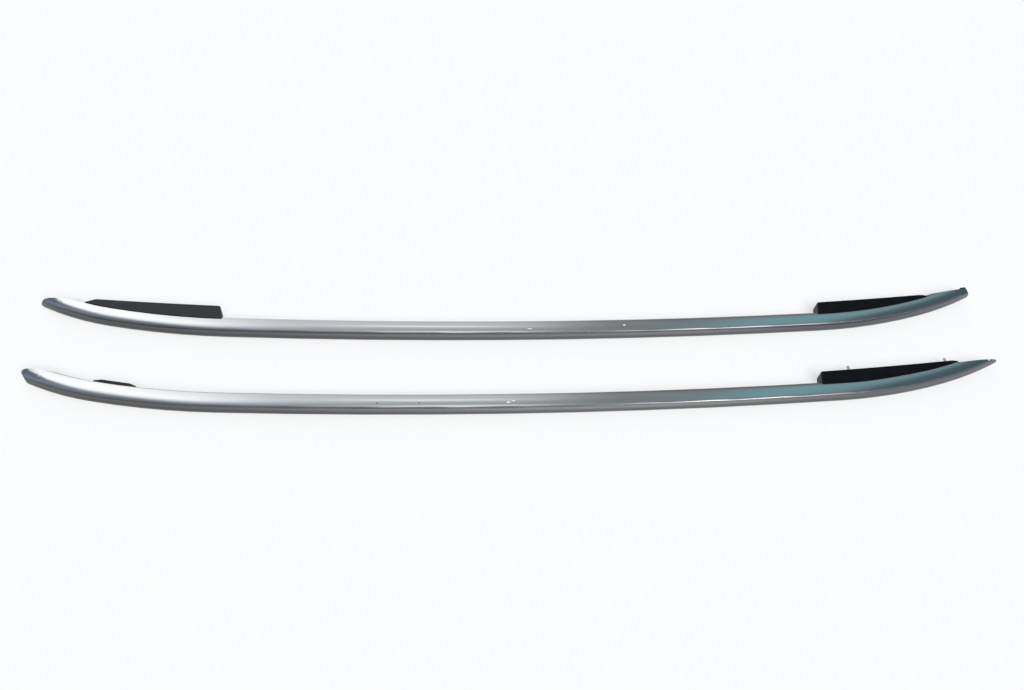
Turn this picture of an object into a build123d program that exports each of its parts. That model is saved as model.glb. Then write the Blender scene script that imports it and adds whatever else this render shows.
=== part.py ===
from build123d import *
from collections import namedtuple
from math import asin, atan2, cos, degrees, radians, sin, sqrt
import os

os.makedirs("parts", exist_ok=True)

# A pair of roof side rails, lying on their sides as they come to rest.
# X runs along the rails, front end at +X. +Y points to the roof side. Z is up.
# Each rail is drawn about its roof line's apex and then laid in its place.

# The pair as it lies
pair_spacing = 183.5
pair_slide = 2.0

# Rail path seen from the side: five arcs, all tangent to each other
rail_length = 2050.0
path_overrun = 3.0
rail_arch = 12750.0
sweep_span = 237.0
bend_span = 145.0
front_sweep = 1140.0
front_bend = 790.0
rear_sweep = 1500.0
rear_bend = 515.0

# Roof under the rail, and how close the rail is to it where a front foot ends
roof_arch = 9950.0
toe_depth = 0.37

# Rail section: crown, crease, bulging sides and a flat underside
section_width = 34.0
crown_height = 19.0
under_depth = 19.0
crease_half = 13.0
crease_height = 15.2
belly_height = 1.0
under_half = 11.5
under_corner = 9.5
rail_wall = 2.6
front_nose = 14.0
rear_nose = 30.0
nose_margin = 1.0

# How far each tip's cut ends off the roof line, one tip's step and one nose's slant
left_front_lift = 7.0
left_rear_lift = -3.0
right_front_lift = -6.0
right_rear_lift = 6.5
left_front_step = 7.0
left_rear_slant = 58.0

# Fits
fit_gap = 0.2
press_gap = 0.02

# End plugs and the pad under one tip
plug_floor = 2.5
plug_back = 2.0
plug_rim = 2.2
pad_length = 20.0
pad_height = 4.0
pad_inset = 1.0
pad_half = 15.5

# Saddle plates and their rivets
saddle_setback = 182.0
saddle_length = 84.0
saddle_slope = 14.0
saddle_half = 12.0
saddle_height = 4.0
saddle_cradle = 3.0
rivet_pitch = 44.0
rivet_radius = 2.4
rivet_head_radius = 4.2
rivet_head_depth = 1.8
rivet_bulb_radius = 3.8
rivet_bulb_length = 4.0
mandrel_radius = 1.1
mandrel_depth = 1.5

# Feet
front_foot_start = 119.5
left_front_foot_start = 108.5
rear_foot_start = 105.5
right_foot_length = 259.0
left_foot_length = 311.0
inner_lean = 10.0
outer_toe = 34.0
cover_half = 16.4
cover_wall = 2.2
cover_rise = 12.0
cover_corner = 3.0
bead_width = 6.5
bead_step = 1.2
gasket_height = 1.0
gasket_inset = 0.5
gasket_toe = 5.0

# Foot bracket: ribs, cells and screws to the saddle
web = 3.0
rib = 3.0
cell_count = 2
cell_corner = 3.0
screw_pitch = 18.0
screw_shift = 6.0
screw_radius = 2.5
screw_head_radius = 4.6
screw_head_height = 2.2
screw_clamp = 2.5
screw_socket_radius = 1.6
screw_socket_depth = 1.2

# Mounting studs and seal washers
stud_radius = 3.0
stud_shank_radius = 3.6
stud_flange_radius = 5.5
stud_flange = 0.8
right_stud_reach = 8.5
left_stud_reach = 16.0
stud_clearance = 4.5
stud_boss = 7.5
outer_stud_inset = 12.0
outer_stud_bury = 5.0
outer_stud_grip = 4.5
outer_stud_shoulder = 1.0
inner_stud_inset = 71.0
inner_stud_grip = 8.0
inner_stud_extra = 1.5
stud_chamfer = 0.8
washer_bore = 4.5
washer_radius = 8.5
washer_height = 2.0

half_width = section_width / 2
tip = rail_length / 2
path_half = tip + path_overrun
bend_start = path_half - bend_span
sweep_start = bend_start - sweep_span
saddle_station = tip - saddle_setback
wide = 3 * section_width

End = namedtuple("End", "sign sweep bend nose foot_start lift step slant")
front = End(1, front_sweep, front_bend, front_nose, front_foot_start, 0, 0, 0)
rear = End(-1, rear_sweep, rear_bend, rear_nose, rear_foot_start, 0, 0, 0)


# Rail path and roof line

def path_lean(end, x):
    """Sine of the path's slope at a distance x from the middle of the rail."""
    arch = min(x, sweep_start) / rail_arch
    swept = max(0.0, min(x, bend_start) - sweep_start) / end.sweep
    bent = max(0.0, x - bend_start) / end.bend
    return arch + swept + bent


def path_fall(radius, lean_from, lean_to):
    """How far an arc drops to the roof between two slopes."""
    return radius * (sqrt(1 - lean_from**2) - sqrt(1 - lean_to**2))


def under_y(end, x):
    """How far the tube's underside lies below the path's apex at a distance x."""
    lean_arch = path_lean(end, min(x, sweep_start))
    lean_sweep = path_lean(end, min(x, bend_start))
    lean_bend = path_lean(end, x)
    fall = path_fall(rail_arch, 0, lean_arch)
    fall += path_fall(end.sweep, lean_arch, lean_sweep)
    fall += path_fall(end.bend, lean_sweep, lean_bend)
    return fall + under_depth / sqrt(1 - lean_bend**2)


def roof_y(x, rise=0.0):
    """The roof line, or a line parallel to it on the rail's side."""
    return roof_arch - sqrt((roof_arch + rise) ** 2 - x**2)


front_toe = tip - front_foot_start
path_apex = roof_y(front_toe) - toe_depth - under_y(front, front_toe)


def path_y(end, x):
    """Height of the path at a distance x from the middle of the rail."""
    return path_apex + under_y(end, x) - under_depth / sqrt(1 - path_lean(end, x) ** 2)


def under_plane(end, x):
    """Plane on the tube's underside, its normal to the roof, its X along the rail."""
    slope = asin(path_lean(end, x))
    along = Vector(cos(slope), end.sign * sin(slope), 0)
    normal = Vector(-end.sign * sin(slope), cos(slope), 0)
    centre = Vector(end.sign * x, path_y(end, x), half_width)
    return Plane(centre + normal * under_depth, x_dir=along, z_dir=normal)


def side_plane(end, x):
    """Upright plane through the rail's middle, with +Y of the plane to the roof."""
    under = under_plane(end, x)
    return Plane(under.origin, x_dir=under.x_dir, z_dir=(0, 0, 1))


def foot_inner(end, length):
    """Distance of the foot's inner end from the middle of the rail."""
    return tip - end.foot_start - length


def outer_stud(end):
    return tip - end.foot_start - outer_stud_inset


def mouth_start(end):
    """Where the cut of a tip starts, a rim's width past the outer stud's boss."""
    return outer_stud(end) - stud_boss - plug_rim


def inner_stud(end, length):
    return foot_inner(end, length) + inner_stud_inset


def roofward(end, x, y):
    """Plane across a stud, facing the roof."""
    return Plane((end.sign * x, y, half_width), x_dir=(1, 0, 0), z_dir=(0, 1, 0))


def outer_stud_root(end):
    """Where the outer stud's thread starts, sunk into the end plug inside the tube."""
    x = outer_stud(end)
    mouth = min(path_apex + under_y(end, x), roof_y(x, end.step))
    return roofward(end, x, mouth - outer_stud_bury)


def inner_stud_root(end, length):
    """Where the inner stud's flange ends, just inside the bracket's base."""
    x = inner_stud(end, length)
    return roofward(end, x, roof_y(x - stud_flange_radius, gasket_height))


def turn(end, x_from, x_to):
    """Angle that the path turns through between two places."""
    return degrees(asin(path_lean(end, x_to)) - asin(path_lean(end, x_from)))


middle = Plane.XY.offset(half_width)


with BuildLine(middle) as path_line:
    rear_slope = asin(path_lean(rear, path_half))
    rear_tip = (-path_half, path_y(rear, path_half))
    rear_out = (cos(rear_slope), -sin(rear_slope))
    arc = JernArc(rear_tip, rear_out, rear_bend, turn(rear, bend_start, path_half))
    arc = JernArc(arc @ 1, arc % 1, rear_sweep, turn(rear, sweep_start, bend_start))
    arc = JernArc(arc @ 1, arc % 1, rail_arch, 2 * turn(front, 0, sweep_start))
    arc = JernArc(arc @ 1, arc % 1, front_sweep, turn(front, sweep_start, bend_start))
    arc = JernArc(arc @ 1, arc % 1, front_bend, turn(front, bend_start, path_half))
path = path_line.wire()
path_start = Plane(path @ 0, x_dir=(0, 0, 1), z_dir=path % 0)


def section(grow=0.0):
    """The rail's outline at the rear end of the path, grown all round."""
    with BuildSketch(path_start) as outline:
        with BuildLine():
            ThreePointArc(
                (-crease_half, crease_height), (0, crown_height), (crease_half, crease_height)
            )
            for side in (-1, 1):
                belly = (side * half_width, belly_height)
                TangentArc(belly, (side * crease_half, crease_height), tangent=(0, 1))
                TangentArc(belly, (side * under_half, -under_depth), tangent=(0, -1))
            Line((-under_half, -under_depth), (under_half, -under_depth))
        make_face()
        fillet(outline.vertices().group_by(Axis.Y)[0], under_corner)
        if grow:
            offset(amount=grow, kind=Kind.INTERSECTION, mode=Mode.REPLACE)
    return outline.sketch


def bar(grow=0.0):
    """The bent bar before its ends are trimmed."""
    with BuildPart() as bent:
        sweep(sections=section(grow), path=path)
    return bent.part


def band(height, depth, half):
    """A rectangle swept along the path, from one distance below it to another."""
    with BuildPart() as strip:
        with BuildSketch(path_start):
            with Locations((0, -(height + depth) / 2)):
                Rectangle(2 * half, depth - height)
        sweep(path=path)
    return strip.part


def roof_slab(x_from, x_to, low, high, half):
    """A layer along the roof line between two heights above it, rail's width across."""
    with BuildPart() as slab:
        with BuildSketch(middle):
            with BuildLine():
                x_mid = (x_from + x_to) / 2
                near = [(x, roof_y(x, low)) for x in (x_from, x_mid, x_to)]
                far = [(x, roof_y(x, high)) for x in (x_to, x_mid, x_from)]
                ThreePointArc(*near)
                Line(near[-1], far[0])
                ThreePointArc(*far)
                Line(far[-1], near[0])
            make_face()
        extrude(amount=half, both=True)
    return slab.part


def slant_block(end, inset):
    """What a slanted nose lacks on its crown side, set in from the outside."""
    slant = radians(end.slant)
    edge = (end.sign * tip, roof_y(tip) - end.lift, half_width)
    outward = (end.sign * sin(slant), -cos(slant), 0)
    with BuildPart() as block:
        with BuildSketch(Plane(edge, x_dir=(0, 0, 1), z_dir=outward).offset(-inset)):
            Rectangle(wide, 2 * wide)
        extrude(amount=wide)
    return block.part


def nose_block(inset, *ends):
    """Outline of the rail seen from its crown, with oval noses, set in all round."""
    half = half_width + nose_margin - inset
    with BuildPart() as block:
        with BuildSketch(Plane.XZ):
            for end in ends:
                root = tip - end.nose
                with Locations((end.sign * root / 2, half_width)):
                    Rectangle(root, 2 * half)
                with Locations((end.sign * root, half_width)):
                    Ellipse(end.nose - inset, half)
        extrude(amount=wide + roof_y(path_half), both=True)
        for end in ends:
            if end.slant:
                add(slant_block(end, inset), mode=Mode.SUBTRACT)
    return block.part


def tip_slab(end, x_from, x_to, low, high, half):
    """A layer along a tip's cut: the roof line swung about the foot's outer end."""
    pivot = tip - end.foot_start
    hinge = Axis((end.sign * pivot, roof_y(pivot, end.step), 0), (0, 0, 1))
    layer = (low + end.step, high + end.step, half)
    slab = roof_slab(end.sign * x_from, end.sign * x_to, *layer)
    return slab.rotate(hinge, -end.sign * degrees((end.lift - end.step) / end.foot_start))


outer_bar = bar()
coped_bar = bar(fit_gap)
bore = bar(-rail_wall)


def cope(end):
    """Room for the rail in a foot, less what a stepped tip leaves free."""
    free = tip_slab(end, mouth_start(end) + fit_gap, path_half, -wide, -fit_gap, wide)
    return coped_bar - free


# Rail tube

rivet_spots = [(-rivet_pitch / 2, 0), (rivet_pitch / 2, 0)]


def screw_spots(end):
    inward = -end.sign * screw_shift
    return [(inward - screw_pitch / 2, 0), (inward + screw_pitch / 2, 0)]


def rail_tube(*ends):
    """The bent tube, closed round its noses, with its tips cut along the roof."""
    with BuildPart() as tube:
        add(outer_bar)
        add(nose_block(0, *ends), mode=Mode.INTERSECT)
        add(bore & nose_block(rail_wall, *ends), mode=Mode.SUBTRACT)
        for end in ends:
            roof_side = tip_slab(end, mouth_start(end), 2 * path_half, -wide, 0, wide)
            add(roof_side, mode=Mode.SUBTRACT)
            with BuildSketch(under_plane(end, saddle_station)):
                with Locations(*rivet_spots):
                    Circle(rivet_radius + fit_gap)
                with Locations(*screw_spots(end)):
                    Circle(screw_radius + fit_gap)
            extrude(amount=2 * rail_wall, both=True, mode=Mode.SUBTRACT)
            with BuildSketch(outer_stud_root(end)):
                Circle(stud_clearance)
            extrude(amount=2 * outer_stud_bury, mode=Mode.SUBTRACT)
    return tube.part


# End plugs that close the trimmed mouths

def plug_blank(end, inset, low, high):
    """The space in a mouth between two heights over its cut, set in from the tube."""
    with BuildPart() as blank:
        add(bar(-inset))
        layer = tip_slab(end, mouth_start(end), 2 * path_half, low, high, wide)
        add(layer, mode=Mode.INTERSECT)
        add(nose_block(inset, end), mode=Mode.INTERSECT)
    return blank.part


def plug_hollow(end):
    """What is cast out of a plug, around the boss that holds the outer stud."""
    with BuildPart() as hollow:
        add(plug_blank(end, rail_wall + fit_gap + plug_rim, plug_floor, wide))
        with BuildSketch(outer_stud_root(end)):
            Circle(stud_boss)
        extrude(amount=wide, both=True, mode=Mode.SUBTRACT)
    return hollow.part


def end_plug(end):
    stud_end = outer_stud_root(end).origin.Y - outer_stud_grip
    depth = roof_y(outer_stud(end), end.step) - stud_end + plug_back
    with BuildPart() as plug:
        add(plug_blank(end, rail_wall + fit_gap, 0, depth))
        add(plug_hollow(end), mode=Mode.SUBTRACT)
        with BuildSketch(outer_stud_root(end).offset(-outer_stud_shoulder)):
            Circle(stud_clearance)
        extrude(amount=2 * outer_stud_bury, mode=Mode.SUBTRACT)
        with BuildSketch(outer_stud_root(end)):
            Circle(stud_shank_radius + press_gap)
        extrude(amount=-outer_stud_grip, mode=Mode.SUBTRACT)
    return plug.part


def tip_pad(end):
    with BuildPart() as pad:
        add(tip_slab(end, tip - pad_length, path_half, -pad_height, 0, pad_half))
        add(nose_block(pad_inset, end), mode=Mode.INTERSECT)
    return pad.part


# Saddle plates on the underside

def saddle_blank(end, grow=0.0):
    """Block with sloped ends that the saddle is cut from, grown all round."""
    low = saddle_length / 2
    high = low - saddle_slope
    with BuildPart() as blank:
        with BuildSketch(side_plane(end, saddle_station)):
            with BuildLine():
                Polyline(
                    (-low, -saddle_cradle),
                    (low, -saddle_cradle),
                    (low, 0),
                    (high, saddle_height),
                    (-high, saddle_height),
                    (-low, 0),
                    close=True,
                )
            make_face()
            if grow:
                offset(amount=grow, kind=Kind.INTERSECTION, mode=Mode.REPLACE)
        extrude(amount=saddle_half + grow, both=True)
    return blank.part


def saddle(end):
    with BuildPart() as plate:
        add(saddle_blank(end))
        add(coped_bar, mode=Mode.SUBTRACT)
        with BuildSketch(under_plane(end, saddle_station)):
            with Locations(*screw_spots(end)):
                Circle(screw_radius + press_gap)
        extrude(amount=2 * saddle_height, both=True, mode=Mode.SUBTRACT)
        rivet_cone = rivet_head_radius - rivet_radius
        with Locations(under_plane(end, saddle_station).offset(saddle_height)):
            with Locations(*rivet_spots):
                CounterSinkHole(
                    rivet_radius + press_gap,
                    rivet_head_radius + press_gap,
                    counter_sink_angle=2 * degrees(atan2(rivet_cone, rivet_head_depth)),
                )
    return plate.part


def at_spots(plane, spots, piece):
    """The same piece on every spot of a plane, as separate solids."""
    with BuildPart() as group:
        with Locations(plane):
            with Locations(*spots):
                add(piece)
    return group.part


with BuildPart() as rivet:
    grip = saddle_height + fit_gap + rail_wall
    with BuildSketch(Plane.XZ):
        with BuildLine():
            Polyline(
                (0, -mandrel_depth),
                (mandrel_radius, -mandrel_depth),
                (mandrel_radius, 0),
                (rivet_head_radius, 0),
                (rivet_radius, -rivet_head_depth),
                (rivet_radius, -grip - press_gap),
                (rivet_bulb_radius, -grip - fit_gap),
                (rivet_bulb_radius, -grip - rivet_bulb_length / 2),
                (rivet_radius, -grip - rivet_bulb_length),
                (0, -grip - rivet_bulb_length),
                close=True,
            )
        make_face()
    revolve(axis=Axis.Z)


def saddle_rivets(end):
    face = under_plane(end, saddle_station).offset(saddle_height)
    return at_spots(face, rivet_spots, rivet.part)


# Foot bodies: a wedge between the rail and the roof

def wedge(end, length, inset, half, corner=0.0):
    """Side outline of a foot, set in from its ends, with its base on the gasket."""
    x_out = tip - end.foot_start - inset
    x_in = foot_inner(end, length) + inset
    x_mid = (x_in + x_out) / 2
    base = [(end.sign * x, roof_y(x, gasket_height)) for x in (x_in, x_mid, x_out)]
    inner = (end.sign * (x_in - inner_lean), path_y(end, x_in - inner_lean))
    outer = (end.sign * (x_out + outer_toe), path_y(end, x_out + outer_toe))
    with BuildPart() as block:
        with BuildSketch(middle):
            with BuildLine():
                ThreePointArc(*base)
                Polyline(base[-1], outer, inner, base[0])
            make_face()
        extrude(amount=half, both=True)
        if corner:
            upright = block.edges().filter_by(Axis.Z, reverse=True)
            fillet(upright.sort_by(SortBy.LENGTH)[:4], corner)
    return block.part


def foot_cover(end, length, bead):
    half = cover_half - bead
    with BuildPart() as cover:
        add(wedge(end, length, 0, half, cover_corner))
        if bead:
            strip = band(cover_rise, cover_rise + bead_width, cover_half)
            add(wedge(end, length, 0, cover_half, cover_corner) & strip)
        add(wedge(end, length, cover_wall, half - cover_wall), mode=Mode.SUBTRACT)
        add(cope(end), mode=Mode.SUBTRACT)
        add(band(-wide, cover_rise, wide), mode=Mode.SUBTRACT)
    return cover.part


# Foot brackets: cast wedges with cells that open to the roof

def cell_spans(end, length):
    """Where the cells start and stop between the ribs, the stud boss and the saddle."""
    boss = stud_flange_radius + rib
    stud = inner_stud(end, length)
    first = foot_inner(end, length) + cover_wall + fit_gap + rib
    last = saddle_station - saddle_length / 2 - fit_gap - rib
    step = (last + rib - stud - boss) / cell_count
    spans = [(first, stud - boss)]
    for k in range(cell_count):
        start = stud + boss + k * step
        spans.append((start, start + step - rib))
    return spans


def foot_bracket(end, length, bead):
    half = cover_half - bead - cover_wall - fit_gap
    roof_side = Plane((0, wide, half_width), x_dir=(1, 0, 0), z_dir=(0, -1, 0))
    with BuildPart() as cells:
        with BuildSketch(roof_side):
            for x_from, x_to in cell_spans(end, length):
                with Locations((end.sign * (x_from + x_to) / 2, 0)):
                    RectangleRounded(x_to - x_from, 2 * (half - web), cell_corner)
        extrude(amount=2 * wide)
        add(bar(fit_gap + web), mode=Mode.SUBTRACT)
    with BuildPart() as bracket:
        add(wedge(end, length, cover_wall + fit_gap, half))
        add(cope(end), mode=Mode.SUBTRACT)
        add(saddle_blank(end, fit_gap), mode=Mode.SUBTRACT)
        add(cells.part, mode=Mode.SUBTRACT)
        under = under_plane(end, saddle_station)
        with BuildSketch(under):
            with Locations(*screw_spots(end)):
                Circle(screw_radius + fit_gap)
        extrude(amount=wide, mode=Mode.SUBTRACT)
        with BuildSketch(under.offset(saddle_height + fit_gap + screw_clamp)):
            with Locations(*screw_spots(end)):
                Circle(screw_head_radius + fit_gap)
        extrude(amount=wide, mode=Mode.SUBTRACT)
        flange = inner_stud_root(end, length).offset(-stud_flange)
        with BuildSketch(flange):
            Circle(stud_flange_radius + fit_gap)
        extrude(amount=wide, mode=Mode.SUBTRACT)
        with BuildSketch(flange.offset(-inner_stud_grip)):
            Circle(stud_shank_radius + press_gap)
        extrude(amount=wide, mode=Mode.SUBTRACT)
        with BuildSketch(outer_stud_root(end)):
            Circle(stud_clearance)
        extrude(amount=wide, mode=Mode.SUBTRACT)
    return bracket.part


def bracket_screws(end):
    """Low head screws through the bracket into the saddle."""
    with BuildPart() as screw:
        with BuildSketch(Plane.XY):
            Circle(screw_head_radius)
        extrude(amount=screw_head_height)
        fillet(screw.faces().sort_by(Axis.Z)[-1].edges(), screw_head_height / 2)
        with BuildSketch(Plane.XY):
            Circle(screw_radius)
        extrude(amount=-(screw_clamp + fit_gap + saddle_height))
        with BuildSketch(Plane.XY.offset(screw_head_height)):
            RegularPolygon(screw_socket_radius, 6)
        extrude(amount=-screw_socket_depth, mode=Mode.SUBTRACT)
    seat = under_plane(end, saddle_station).offset(saddle_height + fit_gap + screw_clamp)
    return at_spots(seat, screw_spots(end), screw.part)


# Gaskets, mounting studs and seal washers

def foot_gasket(end, length, bead):
    ends = (foot_inner(end, length) + gasket_inset, tip - end.foot_start - gasket_toe)
    x_in, x_out = [end.sign * x for x in ends]
    with BuildPart() as sheet:
        add(roof_slab(x_in, x_out, 0, gasket_height, cover_half - bead - gasket_inset))
        fillet(sheet.edges().filter_by(Axis.Y), cover_corner)
        with BuildSketch(inner_stud_root(end, length)):
            Circle(stud_flange_radius + fit_gap)
        extrude(amount=wide, both=True, mode=Mode.SUBTRACT)
        with BuildSketch(outer_stud_root(end)):
            Circle(stud_clearance)
        extrude(amount=wide, mode=Mode.SUBTRACT)
    return sheet.part


def stud(thread, shank):
    """A turned stud: thread above its root plane, the shank's outline below it."""
    outline = [
        *shank,
        (stud_radius, 0),
        (stud_radius, thread - stud_chamfer),
        (stud_radius - stud_chamfer, thread),
        (0, thread),
    ]
    with BuildPart() as turned:
        with BuildSketch(Plane.XZ):
            with BuildLine():
                Polyline(*outline, close=True)
            make_face()
        revolve(axis=Axis.Z)
    return turned.part


def mounting_studs(end, length, reach):
    outer_root = outer_stud_root(end)
    outer_tip = roof_y(outer_stud(end)) + reach
    outer_shank = [
        (0, -outer_stud_grip),
        (stud_shank_radius, -outer_stud_grip),
        (stud_shank_radius, 0),
    ]
    inner_root = inner_stud_root(end, length)
    inner_tip = roof_y(inner_stud(end, length)) + reach + inner_stud_extra
    inner_end = -stud_flange - inner_stud_grip
    inner_shank = [
        (0, inner_end),
        (stud_shank_radius, inner_end),
        (stud_shank_radius, -stud_flange),
        (stud_flange_radius, -stud_flange),
        (stud_flange_radius, 0),
    ]
    with BuildPart() as pair:
        with Locations(outer_root):
            add(stud(outer_tip - outer_root.origin.Y, outer_shank))
        with Locations(inner_root):
            add(stud(inner_tip - inner_root.origin.Y, inner_shank))
    return pair.part


def seal_washers(end, length):
    with BuildPart() as rings:
        for x in (outer_stud(end), inner_stud(end, length)):
            slope = end.sign * asin(x / roof_arch)
            face = Plane(
                (end.sign * x, roof_y(x, -press_gap), half_width),
                x_dir=(cos(slope), sin(slope), 0),
                z_dir=(-sin(slope), cos(slope), 0),
            )
            with BuildSketch(face):
                Circle(washer_radius)
                Circle(washer_bore, mode=Mode.SUBTRACT)
            extrude(amount=washer_height)
    return rings.part


# The pieces laid in their places

def lay(piece, side, name):
    with BuildPart() as placed:
        with Locations((side * pair_slide / 2, side * pair_spacing / 2, 0)):
            add(piece)
    placed.part.label = name
    export_step(placed.part, f"parts/{name}.step")


sides = {"left": -1, "right": 1}
ends = {
    "left": {
        "front": front._replace(
            foot_start=left_front_foot_start, lift=left_front_lift, step=left_front_step
        ),
        "rear": rear._replace(lift=left_rear_lift, slant=left_rear_slant),
    },
    "right": {
        "front": front._replace(lift=right_front_lift),
        "rear": rear._replace(lift=right_rear_lift),
    },
}
feet = [
    ("right", "rear", right_foot_length, 0, right_stud_reach),
    ("right", "front", right_foot_length, bead_step, right_stud_reach),
    ("left", "front", left_foot_length, bead_step, left_stud_reach),
]

for side_name, side in sides.items():
    lay(rail_tube(*ends[side_name].values()), side, f"{side_name}_rail_tube")
    for end_name, end in ends[side_name].items():
        place = f"{side_name}_{end_name}"
        lay(end_plug(end), side, f"{place}_end_plug")
        lay(saddle(end), side, f"{place}_saddle")
        lay(saddle_rivets(end), side, f"{place}_saddle_rivets")

lay(tip_pad(ends["right"]["front"]), sides["right"], "right_front_tip_pad")

for side_name, end_name, length, bead, reach in feet:
    side = sides[side_name]
    end = ends[side_name][end_name]
    place = f"{side_name}_{end_name}"
    lay(foot_bracket(end, length, bead), side, f"{place}_foot_bracket")
    lay(bracket_screws(end), side, f"{place}_bracket_screws")
    lay(foot_cover(end, length, bead), side, f"{place}_foot_cover")
    lay(foot_gasket(end, length, bead), side, f"{place}_foot_gasket")
    lay(mounting_studs(end, length, reach), side, f"{place}_mounting_studs")
    lay(seal_washers(end, length), side, f"{place}_seal_washers")
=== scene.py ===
import bmesh
import bpy
import math
import numpy as np
from mathutils import Matrix, Vector


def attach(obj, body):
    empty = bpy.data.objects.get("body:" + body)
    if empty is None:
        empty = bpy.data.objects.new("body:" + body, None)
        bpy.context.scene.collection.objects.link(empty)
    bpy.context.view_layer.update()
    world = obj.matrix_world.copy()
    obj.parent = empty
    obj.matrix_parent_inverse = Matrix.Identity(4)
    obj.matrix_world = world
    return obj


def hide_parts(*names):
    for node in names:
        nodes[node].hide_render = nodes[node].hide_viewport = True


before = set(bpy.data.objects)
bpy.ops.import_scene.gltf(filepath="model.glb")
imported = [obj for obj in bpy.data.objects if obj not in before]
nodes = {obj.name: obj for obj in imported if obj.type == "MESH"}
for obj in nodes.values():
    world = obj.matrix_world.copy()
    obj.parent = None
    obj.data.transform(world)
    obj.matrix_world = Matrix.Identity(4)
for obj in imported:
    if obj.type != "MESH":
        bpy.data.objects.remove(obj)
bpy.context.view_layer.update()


# Shader helpers

BUMP_DEPTH = 0.0002


def new_material(name, rough, metal=0.0, specular=0.5):
    mat = bpy.data.materials.new(name)
    mat.use_nodes = True
    shader = mat.node_tree.nodes["Principled BSDF"]
    shader.inputs["Roughness"].default_value = rough
    shader.inputs["Metallic"].default_value = metal
    shader.inputs["Specular IOR Level"].default_value = specular
    return mat, mat.node_tree, shader


def node(tree, kind, inputs=None, **settings):
    made = tree.nodes.new(kind)
    for key, value in settings.items():
        setattr(made, key, value)
    for key, value in (inputs or {}).items():
        if isinstance(value, bpy.types.NodeSocket):
            tree.links.new(value, made.inputs[key])
        else:
            made.inputs[key].default_value = value
    return made


def scaled(tree, scale, place=None):
    """Coordinates in the frame, in metres, or another place, stretched along each axis."""
    place = place or node(tree, "ShaderNodeTexCoord").outputs["Object"]
    return node(tree, "ShaderNodeMapping", {"Vector": place, "Scale": scale}).outputs["Vector"]


def noise(tree, scale, detail=3.0, rough=0.55, place=None):
    made = node(
        tree,
        "ShaderNodeTexNoise",
        {"Vector": scaled(tree, scale, place), "Scale": 1.0, "Detail": detail, "Roughness": rough},
    )
    return made.outputs["Fac"]


def spread(tree, value, low, high, to_low=0, to_high=1):
    """A value between low and high, taken smoothly to another range."""
    made = node(
        tree,
        "ShaderNodeMapRange",
        {
            "Value": value,
            "From Min": low,
            "From Max": high,
            "To Min": to_low,
            "To Max": to_high,
        },
        interpolation_type="SMOOTHSTEP",
    )
    return made.outputs["Result"]


def math_node(tree, operation, a, b):
    return node(tree, "ShaderNodeMath", {0: a, 1: b}, operation=operation).outputs[0]


def split(tree, vector):
    """The x, y and z of a vector."""
    return node(tree, "ShaderNodeSeparateXYZ", {0: vector}).outputs


def blend(tree, fac, a, b):
    """A mix of two colours, each a socket or three numbers."""
    a, b = [c if isinstance(c, bpy.types.NodeSocket) else (*c, 1) for c in (a, b)]
    return node(tree, "ShaderNodeMix", {0: fac, 6: a, 7: b}, data_type="RGBA").outputs[2]


def bump(tree, height, strength):
    made = node(
        tree,
        "ShaderNodeBump",
        {"Height": height, "Strength": strength, "Distance": BUMP_DEPTH},
    )
    return made.outputs["Normal"]


def feed(tree, shader, **sockets):
    names = {"color": "Base Color", "rough": "Roughness", "normal": "Normal", "metal": "Metallic"}
    for key, value in sockets.items():
        tree.links.new(value, shader.inputs[names[key]])


# Rail finish, with painted reflections

# Wear on the rails' upper sides: x, y and half size along and across, in metres
CHIPS = [
    (0.1945, 0.053, 0.0028, 0.0022),
    (0.9960, -0.050, 0.0022, 0.0022),
    (-0.0705, -0.136, 0.0050, 0.0016),
    (-0.0600, -0.133, 0.0040, 0.0012),
    (-0.0125, 0.046, 0.0060, 0.0010),
]
PITS = [
    (-0.3315, -0.1325, 0.0016, 0.0016),
    (-0.2485, -0.1340, 0.0014, 0.0014),
]
MARK_GRAIN = (900, 900, 900)
MARK_RAGGED = 0.8
MARK_EDGE = (1.5, 0.9)
CHIP_TONE = (0.9, 0.9, 0.9)
PIT_TONE = (0.02, 0.02, 0.02)

# Clouded metal of the upper side
SIDE_TONES = ((0.74, 0.75, 0.76), (0.80, 0.81, 0.82))
# Painted reflections, darker than the metal's own tone, on the roof side and on the crown's upper
# and lower parts: pairs of tones from the rear end forwards, and the crown's tones of the front
# end
ROOFWARD_PAINTED_REFLECTION_TONES = ((0.78, 0.78, 0.78), (0.26, 0.25, 0.24))
UPPER_TONES = ((0.19, 0.19, 0.20), (0.42, 0.42, 0.43))
LOWER_TONES = ((0.07, 0.07, 0.075), (0.125, 0.127, 0.135))
UPPER_FRONT = (0.24, 0.245, 0.27)
LOWER_FRONT = (0.10, 0.105, 0.12)
# The spans of x, in metres, along which these change
ROOFWARD_PAINTED_REFLECTION_SPAN = (-0.85, 0.5)
CROWN_SPAN = (-0.9, 0.1)
FRONT_SPAN = (0.3, 0.75)
# The normal's z or y at which a zone begins and at which it is whole
CROWN_BY_Z = (0.86, 0.52)
CROWN_BY_Y = (0.0, -0.3)
LOWER_BY_Z = (0.62, -0.1)
ROOFWARD_BY_Y = (0.2, 0.62)

# Noise scales: the first two along and round the rail, the third in the frame
DRAWN_SCALE = (1.2, 420, 1)
CLOUD_SCALE = (6, 40, 1)
SCUFF_SCALE = (160, 700, 700)
SCUFF_SHARE = 0.3
RAIL_BUMP = 0.07
CLOUD_SPAN = (0.35, 0.7)
SIDE_ROUGH = (0.16, 0.20)
# What the crown and the chips add to the roughness
CROWN_ROUGH = 0.2
CHIP_ROUGH = 0.4


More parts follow.
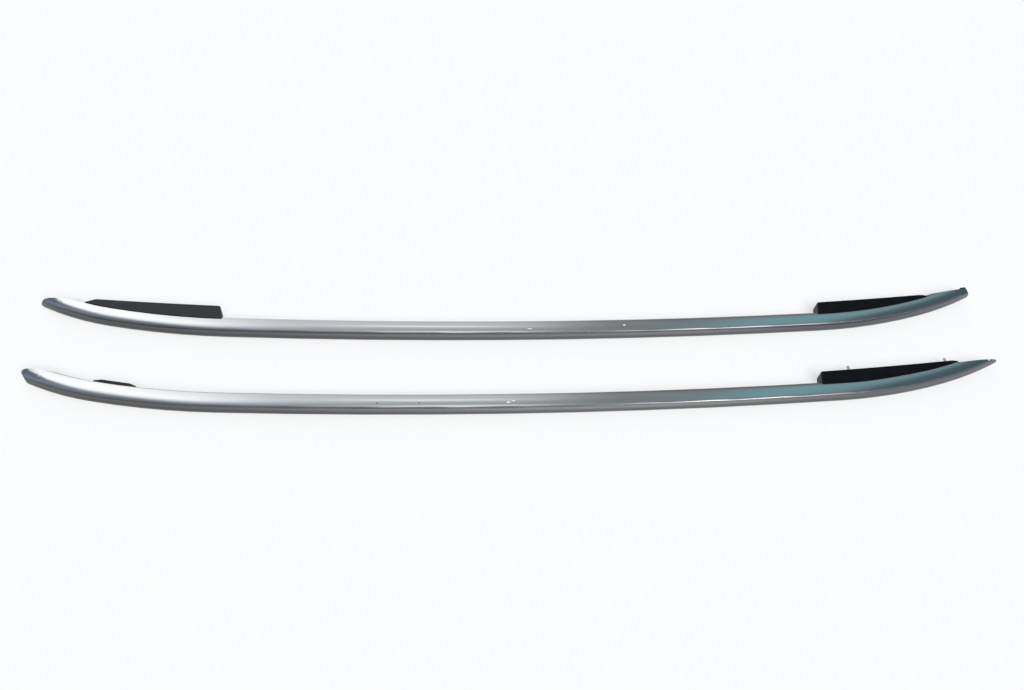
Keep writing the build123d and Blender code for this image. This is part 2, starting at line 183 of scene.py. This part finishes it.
def marks(tree, spots):
    """A mask of small ragged spots."""
    ragged = math_node(tree, "MULTIPLY", noise(tree, MARK_GRAIN), MARK_RAGGED)
    total = 0.0
    for x, y, half_x, half_y in spots:
        place = node(tree, "ShaderNodeTexCoord").outputs["Object"]
        shifted = node(tree, "ShaderNodeVectorMath", {0: place, 1: (-x, -y, 0)}).outputs[0]
        flat = scaled(tree, (1 / half_x, 1 / half_y, 0), shifted)
        away = node(tree, "ShaderNodeVectorMath", {0: flat}, operation="LENGTH").outputs["Value"]
        spot = spread(tree, math_node(tree, "ADD", away, ragged), *MARK_EDGE)
        total = math_node(tree, "MAXIMUM", total, spot)
    return total


def rail_material():
    """Satin anodised aluminium with drawn lines, and painted reflections: the crown is painted
    dark and the roof side is painted darker towards the front end.
    """
    mat, tree, shader = new_material("rail_anodised", SIDE_ROUGH[1], metal=1.0)
    x = split(tree, scaled(tree, (1, 1, 1)))[0]
    _, facing_y, facing_z = split(tree, node(tree, "ShaderNodeNewGeometry").outputs["Normal"])
    crown = math_node(tree, "MULTIPLY", spread(tree, facing_z, *CROWN_BY_Z),
                      spread(tree, facing_y, *CROWN_BY_Y))
    roofward = spread(tree, facing_y, *ROOFWARD_BY_Y)
    place = node(tree, "ShaderNodeAttribute", attribute_name="rail_place").outputs["Vector"]
    drawn = noise(tree, DRAWN_SCALE, place=place)
    cloud = noise(tree, CLOUD_SCALE, place=place)
    scuff = noise(tree, SCUFF_SCALE, detail=4, rough=0.7)

    side = blend(tree, cloud, *SIDE_TONES)
    # painted reflection: the roof side goes from the metal's light tone at the rear end to a dark
    # grey towards the front
    roofward_painted_reflection = blend(tree, spread(tree, x, *ROOFWARD_PAINTED_REFLECTION_SPAN), *ROOFWARD_PAINTED_REFLECTION_TONES)
    along = spread(tree, x, *CROWN_SPAN)
    front = spread(tree, x, *FRONT_SPAN)
    # painted reflection: the crown is dark grey, darkest on its lower part, darker at the rear
    # end, lighter towards the middle and darker again at the front end
    upper = blend(tree, front, blend(tree, along, *UPPER_TONES), UPPER_FRONT)
    lower = blend(tree, front, blend(tree, along, *LOWER_TONES), LOWER_FRONT)
    crown_painted_reflection = blend(tree, spread(tree, facing_z, *LOWER_BY_Z), upper, lower)
    color = blend(tree, crown, blend(tree, roofward, side, roofward_painted_reflection), crown_painted_reflection)
    chips = marks(tree, CHIPS)
    color = blend(tree, chips, color, CHIP_TONE)
    color = blend(tree, marks(tree, PITS), color, PIT_TONE)

    rough = math_node(tree, "ADD", spread(tree, cloud, *CLOUD_SPAN, *SIDE_ROUGH),
                      spread(tree, crown, 0, 1, 0, CROWN_ROUGH))
    rough = math_node(tree, "ADD", rough, math_node(tree, "MULTIPLY", chips, CHIP_ROUGH))
    metal = math_node(tree, "SUBTRACT", 1.0, chips)
    fine = math_node(tree, "ADD", drawn, math_node(tree, "MULTIPLY", scuff, SCUFF_SHARE))
    feed(tree, shader, color=color, rough=rough, metal=metal,
         normal=bump(tree, fine, RAIL_BUMP))
    return mat


# The other finishes

DUST_SCALE = (35, 60, 60)
DUST_TONE_SPAN = (0.4, 0.75)
DUST_ROUGH_SPAN = (0.35, 0.75)
PLASTIC_BUMP = 0.25
METAL_GRAIN = (900, 900, 900)
METAL_CLOUD = (90, 90, 90)
METAL_ROUGH_SPAN = (0.3, 0.7)
METAL_BUMP = 0.2


def plastic_material(name, dark, light, rough, grain=2600, specular=0.25):
    """Moulded plastic: fine grain, soft sheen and a little dust."""
    mat, tree, shader = new_material(name, rough, specular=specular)
    grainy = noise(tree, (grain, grain, grain), detail=2)
    dusty = noise(tree, DUST_SCALE, detail=5, rough=0.65)
    color = blend(tree, spread(tree, dusty, *DUST_TONE_SPAN), dark, light)
    shade = spread(tree, dusty, *DUST_ROUGH_SPAN, rough - 0.06, rough + 0.1)
    feed(tree, shader, color=color, rough=shade, normal=bump(tree, grainy, PLASTIC_BUMP))
    return mat


def metal_material(name, dark, light, rough):
    """Bare or plated metal with a fine machined or cast surface."""
    mat, tree, shader = new_material(name, rough, metal=1.0)
    grainy = noise(tree, METAL_GRAIN)
    cloud = noise(tree, METAL_CLOUD)
    shade = spread(tree, grainy, *METAL_ROUGH_SPAN, rough - 0.07, rough + 0.09)
    feed(tree, shader, color=blend(tree, cloud, dark, light), rough=shade,
         normal=bump(tree, grainy, METAL_BUMP))
    return mat


looks = {
    "rail": rail_material(),
    "plug": plastic_material("plug_coated", (0.02, 0.02, 0.022), (0.035, 0.035, 0.037), 0.5),
    "pad": plastic_material("pad_rubber", (0.012, 0.012, 0.013), (0.025, 0.025, 0.026), 0.7),
    "saddle": plastic_material("saddle_coated", (0.015, 0.015, 0.016), (0.03, 0.03, 0.03), 0.45),
    "rivet": metal_material("rivet_steel", (0.45, 0.45, 0.46), (0.6, 0.6, 0.61), 0.35),
    "bracket": metal_material("bracket_cast", (0.42, 0.43, 0.44), (0.55, 0.56, 0.57), 0.5),
    "screw": metal_material("screw_zinc", (0.5, 0.5, 0.5), (0.62, 0.62, 0.6), 0.3),
    "cover": plastic_material("cover_plastic", (0.003, 0.003, 0.004), (0.006, 0.006, 0.008), 0.4,
                              specular=0.2),
    # painted sheen: a lighter grey copy of the cover plastic, for the one foot cover that catches
    # a sheen
    "cover_grey": plastic_material("cover_painted_sheen", (0.028, 0.028, 0.033), (0.04, 0.04, 0.045),
                                   0.55),
    "gasket": plastic_material("gasket_rubber", (0.01, 0.01, 0.011), (0.02, 0.02, 0.021), 0.75),
    "stud": metal_material("stud_zinc", (0.62, 0.62, 0.61), (0.78, 0.78, 0.77), 0.22),
    "washer": plastic_material("washer_foam", (0.015, 0.015, 0.016), (0.03, 0.03, 0.03), 0.85,
                               grain=900),
}
suffixes = {
    "rail_tube": "rail",
    "end_plug": "plug",
    "tip_pad": "pad",
    "saddle": "saddle",
    "saddle_rivets": "rivet",
    "foot_bracket": "bracket",
    "bracket_screws": "screw",
    "foot_cover": "cover",
    "foot_gasket": "gasket",
    "mounting_studs": "stud",
    "seal_washers": "washer",
}


def look_of(name):
    # the right rear foot cover gets the lighter copy of the cover plastic, a painted sheen
    if name == "right_rear_foot_cover":
        return looks["cover_grey"]
    key = max((k for k in suffixes if name.endswith(k)), key=len)
    return looks[suffixes[key]]


for name, piece in nodes.items():
    piece.data.materials.clear()
    piece.data.materials.append(look_of(name))


# Rail skins: the tubes' meshes again, cut finer, with a rounded crease and rounded noses in
# their normals, and with each point's place along and round the rail

# The rails' sizes, in metres; where the ends differ, 1 is the front and -1 the rear
RAIL_APART = 0.1835
RAIL_SLIDE = 0.002
MID = 0.017
TIP = 1.025
SWEEP_START, BEND_START = 0.646, 0.883
ARCH = 12.75
SWEEPS = {1: 1.14, -1: 1.5}
BENDS = {1: 0.79, -1: 0.515}
NOSES = {1: 0.014, -1: 0.03}
NOSE_HALF = 0.018
CROWN_HEIGHT = 0.019
# Section arcs, in metres: centre across, centre towards the crown, radius
CROWN_ARC = (0.0, -0.005143, 0.024143)
BELLY_ARC = (-0.010205, 0.001, 0.027205)
LOWER_ARC = (-0.022114, 0.001, 0.039114)
CORNER_ARC = (0.005577, -0.0095, 0.0095)
# The crease's place across and towards the crown, and its angle on the two arcs it joins
CREASE_AT = (0.013, 0.0152)
BELLY_CREASE, CROWN_CREASE = [
    math.atan2(CREASE_AT[1] - arc[1], CREASE_AT[0] - arc[0]) for arc in (BELLY_ARC, CROWN_ARC)
]
CREASE_SLACK = 0.1
CORNER_FROM = -0.3626

# The crease's rounding, in metres, and what the ends add: most, and from where to where
CREASE_SOFT = 0.0015
REAR_SOFT = (0.0075, 0.55, 0.9)
FRONT_SOFT = (0.0035, 0.7, 1.0)
ROUND_RADIUS = 0.02
PATH_STEPS = 8

CUTS = 110
WELD = 1e-6
TINY = 1e-12
SHARP_ANGLE = 28
MIDDLE = 0.3
# A face is swept if it lies on the section and faces as it does, and otherwise a nose's
# wall if it lies beyond the nose's root, outside its oval, and not towards the roof
ON_SECTION, AS_SECTION = 0.0005, 0.7
NOSE_SLACK, ON_OVAL, ROOFWARD = 0.001, 0.9, 0.6
NOSE_BLEND = (-0.02, 0.002)
NOSE_PASSES = 40


def ramped(value, low, high):
    t = np.clip((value - low) / (high - low), 0, 1)
    return t * t * (3 - 2 * t)


def unit(vectors):
    return vectors / np.maximum(np.linalg.norm(vectors, axis=1, keepdims=True), TINY)


def end_of(points):
    return np.where(points[:, 0] < 0, -1, 1)


def by_end(sign, table):
    return np.where(sign > 0, table[1], table[-1])


def path_at(sign, x):
    """Slope's sine and drop of the rail's path at a distance from its middle."""
    sweep, bend = by_end(sign, SWEEPS), by_end(sign, BENDS)
    first = np.minimum(x, SWEEP_START) / ARCH
    second = first + np.clip(x - SWEEP_START, 0, BEND_START - SWEEP_START) / sweep
    third = second + np.maximum(x - BEND_START, 0) / bend
    level = [np.sqrt(1 - lean**2) for lean in (first, second, third)]
    drop = ARCH * (1 - level[0]) + sweep * (level[0] - level[1]) + bend * (level[1] - level[2])
    return third, drop


def rail_frame(points, apex):
    """Each point's path place, and its distances across and towards the crown."""
    sign = end_of(points)
    x, y = np.abs(points[:, 0]), points[:, 1] - apex
    at = x.copy()
    for _ in range(PATH_STEPS):
        lean, drop = path_at(sign, at)
        level = np.sqrt(1 - lean**2)
        at = at + ((x - at) * level + (y - drop) * lean) * level
    lean, drop = path_at(sign, at)
    level = np.sqrt(1 - lean**2)
    crownward = (x - at) * lean - (y - drop) * level
    return sign, at, lean, level, points[:, 2] - MID, crownward


def section_at(across, crownward, soft):
    """Normal's angle towards the crown, and distance from the section's outline."""
    u = np.abs(across)

    def polar(arc):
        du, dw = u - arc[0], crownward - arc[1]
        return np.arctan2(dw, du), np.abs(np.hypot(du, dw) - arc[2])

    (crown, off_crown), (belly, off_belly) = polar(CROWN_ARC), polar(BELLY_ARC)
    (lower, off_lower), (corner, off_corner) = polar(LOWER_ARC), polar(CORNER_ARC)
    above = crownward > BELLY_ARC[1]
    on_crown = above & (crown > CROWN_CREASE - CREASE_SLACK) & (off_crown < off_belly)
    run = np.where(on_crown, (crown - CROWN_CREASE) * CROWN_ARC[2],
                   (belly - BELLY_CREASE) * BELLY_ARC[2])
    t = np.clip((run + soft) / (2 * soft), 0, 1)
    ends = (BELLY_CREASE - soft / BELLY_ARC[2], CROWN_CREASE + soft / CROWN_ARC[2])
    slopes = (2 * soft / BELLY_ARC[2], 2 * soft / CROWN_ARC[2])
    rounded = (ends[0] * (2 * t**3 - 3 * t**2 + 1) + slopes[0] * (t**3 - 2 * t**2 + t)
               + ends[1] * (3 * t**2 - 2 * t**3) + slopes[1] * (t**3 - t**2))
    upper = np.where(np.abs(run) < soft, rounded, np.where(on_crown, crown, belly))
    flat = (crownward < CORNER_ARC[1]) & (u < CORNER_ARC[0])
    under = np.where(lower > CORNER_FROM, lower, np.where(flat, -math.pi / 2, corner))
    off_flat = np.abs(crownward + CROWN_HEIGHT)
    off_under = np.where(lower > CORNER_FROM, off_lower, np.where(flat, off_flat, off_corner))
    off_upper = np.where(on_crown, off_crown, off_belly)
    return np.where(above, upper, under), np.where(above, off_upper, off_under)


def crease_soft(x):
    """How far the crease is rounded, more at the tips."""
    rear, front = REAR_SOFT, FRONT_SOFT
    return CREASE_SOFT + rear[0] * ramped(-x, *rear[1:]) + front[0] * ramped(x, *front[1:])


def swept_normals(points, apex):
    """The section's normals, distances from it, and places along and round the rail."""
    sign, at, lean, level, across, crownward = rail_frame(points, apex)
    angle, off = section_at(across, crownward, crease_soft(points[:, 0]))
    side, lift = np.cos(angle) * np.where(across < 0, -1, 1), np.sin(angle)
    normals = np.stack((lift * sign * lean, -lift * level, side), axis=1)
    turned = np.arctan2(crownward, across)
    return normals, off, np.stack((sign * at, turned * ROUND_RADIUS, 0 * at), axis=1)


def finer(mesh):
    """The mesh welded and cut across at even steps along the rail."""
    bm = bmesh.new()
    bm.from_mesh(mesh)
    bmesh.ops.remove_doubles(bm, verts=bm.verts, dist=WELD)
    for k in range(-CUTS, CUTS + 1):
        bmesh.ops.bisect_plane(bm, geom=bm.verts[:] + bm.edges[:] + bm.faces[:], dist=WELD,
                               plane_co=(k * TIP / CUTS, 0, 0), plane_no=(1, 0, 0))
    bmesh.ops.triangulate(bm, faces=bm.faces)
    made = bpy.data.meshes.new(mesh.name + "_skin")
    bm.to_mesh(made)
    bm.free()
    return made


def triples(items, key, kind, width):
    """Values of a mesh's items, each of which holds width of them, in rows of three."""
    out = np.empty(len(items) * width, kind)
    items.foreach_get(key, out)
    return out.reshape(-1, 3)


def outer_faces(points, corners, across, apex):
    """Masks of the faces on the swept section and of those on the noses' walls."""
    flat = unit(across)
    centre = points[corners].mean(axis=1)
    ideal, off, _ = swept_normals(centre, apex)
    swept = (off < ON_SECTION) & ((flat * ideal).sum(axis=1) > AS_SECTION)
    nose = by_end(end_of(centre), NOSES)
    reach = np.abs(centre[:, 0]) - TIP + nose
    oval = (reach / nose) ** 2 + ((centre[:, 2] - MID) / NOSE_HALF) ** 2
    wall = ~swept & (reach > -NOSE_SLACK) & (oval > ON_OVAL) & (flat[:, 1] < ROOFWARD)
    return swept, wall


def nose_rounded(normals, points, faces):
    """The normals evened out along the faces' edges, at the noses alone."""
    edges = np.concatenate((faces[:, [0, 1]], faces[:, [1, 2]], faces[:, [2, 0]]))
    pairs = np.unique(np.sort(edges, axis=1), axis=0)
    root = TIP - by_end(end_of(points), NOSES)
    share = ramped(np.abs(points[:, 0]), root + NOSE_BLEND[0], root + NOSE_BLEND[1])[:, None]
    for _ in range(NOSE_PASSES):
        mean = normals.copy()
        np.add.at(mean, pairs[:, 0], normals[pairs[:, 1]])
        np.add.at(mean, pairs[:, 1], normals[pairs[:, 0]])
        normals = unit(normals + share * (unit(mean) - normals))
    return normals


def rail_skin(name, side):
    """A finer copy of a rail's mesh, which stands for it."""
    mesh = finer(nodes[name].data)
    if mesh.has_custom_normals:
        mesh.attributes.remove(mesh.attributes["custom_normal"])
    mesh.polygons.foreach_set("use_smooth", np.ones(len(mesh.polygons), bool))
    mesh.set_sharp_from_angle(angle=math.radians(SHARP_ANGLE))

    shift = np.array((side * RAIL_SLIDE / 2, side * RAIL_APART / 2, 0))
    points = triples(mesh.vertices, "co", np.float32, 3).astype(float) - shift
    corners = triples(mesh.loops, "vertex_index", np.int32, 1)
    apex = points[np.abs(points[:, 0]) < MIDDLE, 1].min() + CROWN_HEIGHT
    across = np.cross(points[corners[:, 1]] - points[corners[:, 0]],
                      points[corners[:, 2]] - points[corners[:, 0]])
    swept, wall = outer_faces(points, corners, across, apex)
    ideal, _, place = swept_normals(points, apex)
    size = np.linalg.norm(across, axis=1, keepdims=True) / 2
    total = np.zeros_like(points)
    for k in range(3):
        np.add.at(total, corners[wall, k], across[wall] / 2)
    for k in range(3):
        np.add.at(total, corners[swept, k], ideal[corners[swept, k]] * size[swept])
    outer = swept | wall
    normals = nose_rounded(unit(total), points, corners[outer])
    split_normals = np.zeros((len(corners), 3, 3))
    split_normals[outer] = normals[corners[outer]]
    mesh.normals_split_custom_set(split_normals.reshape(-1, 3).tolist())

    spot = mesh.attributes.new("rail_place", "FLOAT_VECTOR", "POINT")
    spot.data.foreach_set("vector", place.astype(np.float32).ravel())
    mesh.materials.clear()
    mesh.materials.append(looks["rail"])
    skin = bpy.data.objects.new(name + "_skin", mesh)
    bpy.context.collection.objects.link(skin)
    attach(skin, "root")
    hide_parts(name)


for name, side in (("left_rail_tube", -1), ("right_rail_tube", 1)):
    rail_skin(name, side)


# Stage

FLOOR_HALF = 20.0
FLOOR_TONE = (0.9, 0.9, 0.9, 1)
FLOOR_ROUGH = 0.9
# The share of plain white in the floor as it is seen and mirrored
FLOOR_LIFT = 0.6

# Soft panels round the object: colour, span across x, rise as an angle from straight up
# to the front, and how soft their edges are
ROOM = (0.20, 0.205, 0.21)
PANELS = [
    ((0.36, 0.37, 0.38), (-0.22, 0.17), (-10, 30), (0.06, 12)),
    ((0.20, 0.25, 0.33), (-1.0, -0.18), (-5, 32), (0.06, 14)),
    ((0.62, 0.64, 0.66), (-0.30, 0.16), (-95, -10), (0.06, 20)),
    ((1.35, 1.35, 1.35), (-0.47, -0.20), (-95, 2), (0.06, 24)),
    ((0.12, 0.14, 0.18), (-1.1, -0.47), (-95, 0), (0.05, 14)),
    ((1.10, 1.10, 1.08), (-0.06, 0.09), (-42, -30), (0.04, 5)),
    ((1.20, 1.20, 1.20), (-0.04, 0.11), (10, 32), (0.05, 8)),
    ((0.20, 0.41, 0.44), (0.34, 0.48), (-60, 16), (0.05, 12)),
    ((0.07, 0.11, 0.13), (0.50, 1.1), (-95, 30), (0.04, 14)),
    ((2.20, 2.20, 2.20), (0.30, 0.47), (34, 60), (0.04, 8)),
]

KEY_FROM = (0.25, -0.55, 0.80)
KEY_STRENGTH = 2.6
KEY_ANGLE = 40

CAMERA_AT = (-0.2591, -1.0697, 1.5588)
# Pitch down, yaw to the right and roll, in degrees
CAMERA_TURN = (54.37, 10.86, 8.17)
SENSOR = 36.0
# In the photograph's pixels
FOCAL_LENGTH = 894.5
IMAGE_WIDTH = 1024


def make_floor():
    half = FLOOR_HALF
    mesh = bpy.data.meshes.new("floor")
    corners = [(-half, -half, 0), (half, -half, 0), (half, half, 0), (-half, half, 0)]
    mesh.from_pydata(corners, [], [(0, 1, 2, 3)])
    floor = bpy.data.objects.new("floor", mesh)
    bpy.context.collection.objects.link(floor)
    mat, tree, shader = new_material("floor_paper", FLOOR_ROUGH, specular=0.0)
    shader.inputs["Base Color"].default_value = FLOOR_TONE
    ray = node(tree, "ShaderNodeLightPath").outputs
    seen = math_node(tree, "ADD", ray["Is Camera Ray"],
                     math_node(tree, "ADD", ray["Is Glossy Ray"], ray["Is Transmission Ray"]))
    white = node(tree, "ShaderNodeEmission").outputs[0]
    lift = node(tree, "ShaderNodeMixShader", {
        0: math_node(tree, "MULTIPLY", seen, FLOOR_LIFT), 1: shader.outputs[0], 2: white})
    tree.links.new(lift.outputs[0], tree.nodes["Material Output"].inputs["Surface"])
    mesh.materials.append(mat)


def make_world():
    """A soft room: bright behind on the left, grey, then teal and dark to the right."""
    world = bpy.data.worlds.new("studio")
    bpy.context.scene.world = world
    world.use_nodes = True
    tree = world.node_tree
    across, behind, up = split(tree, node(tree, "ShaderNodeTexCoord").outputs["Generated"])
    ahead = math_node(tree, "MULTIPLY", behind, -1)
    tilt = math_node(tree, "ARCTAN2", ahead, up)
    light = ROOM
    for color, span, rise, (side_soft, rise_soft) in PANELS:
        rise = [math.radians(a) for a in rise]
        rise_soft = math.radians(rise_soft)
        mask = 1.0
        for value, (low, high), soft in ((across, span, side_soft), (tilt, rise, rise_soft)):
            mask = math_node(tree, "MULTIPLY", mask,
                             spread(tree, value, low - soft, low + soft))
            mask = math_node(tree, "MULTIPLY", mask,
                             spread(tree, value, high - soft, high + soft, 1, 0))
        light = blend(tree, mask, light, color)
    tree.links.new(light, tree.nodes["Background"].inputs["Color"])


def make_key():
    """A wide soft lamp from the front, which the metal doesn't mirror."""
    data = bpy.data.lights.new("key", "SUN")
    data.energy = KEY_STRENGTH
    data.angle = math.radians(KEY_ANGLE)
    lamp = bpy.data.objects.new("key", data)
    lamp.rotation_mode = "QUATERNION"
    lamp.rotation_quaternion = Vector(KEY_FROM).to_track_quat("Z", "Y")
    lamp.visible_glossy = False
    bpy.context.collection.objects.link(lamp)


def make_camera():
    """The photograph's viewpoint, with its small roll."""
    pitch, yaw, roll = [math.radians(a) for a in CAMERA_TURN]
    level = math.cos(pitch)
    ahead = Vector((math.sin(yaw) * level, math.cos(yaw) * level, -math.sin(pitch)))
    right = Vector((math.cos(yaw), -math.sin(yaw), 0))
    up = right.cross(ahead)
    x_axis = math.cos(roll) * right + math.sin(roll) * up
    y_axis = math.cos(roll) * up - math.sin(roll) * right
    data = bpy.data.cameras.new("camera")
    data.sensor_width = SENSOR
    data.lens = SENSOR * FOCAL_LENGTH / IMAGE_WIDTH
    camera = bpy.data.objects.new("camera", data)
    turned = Matrix((x_axis, y_axis, -ahead)).transposed().to_4x4()
    camera.matrix_world = Matrix.Translation(CAMERA_AT) @ turned
    bpy.context.collection.objects.link(camera)
    bpy.context.scene.camera = camera


make_floor()
make_world()
make_key()
make_camera()
bpy.context.scene.view_settings.view_transform = "Standard"
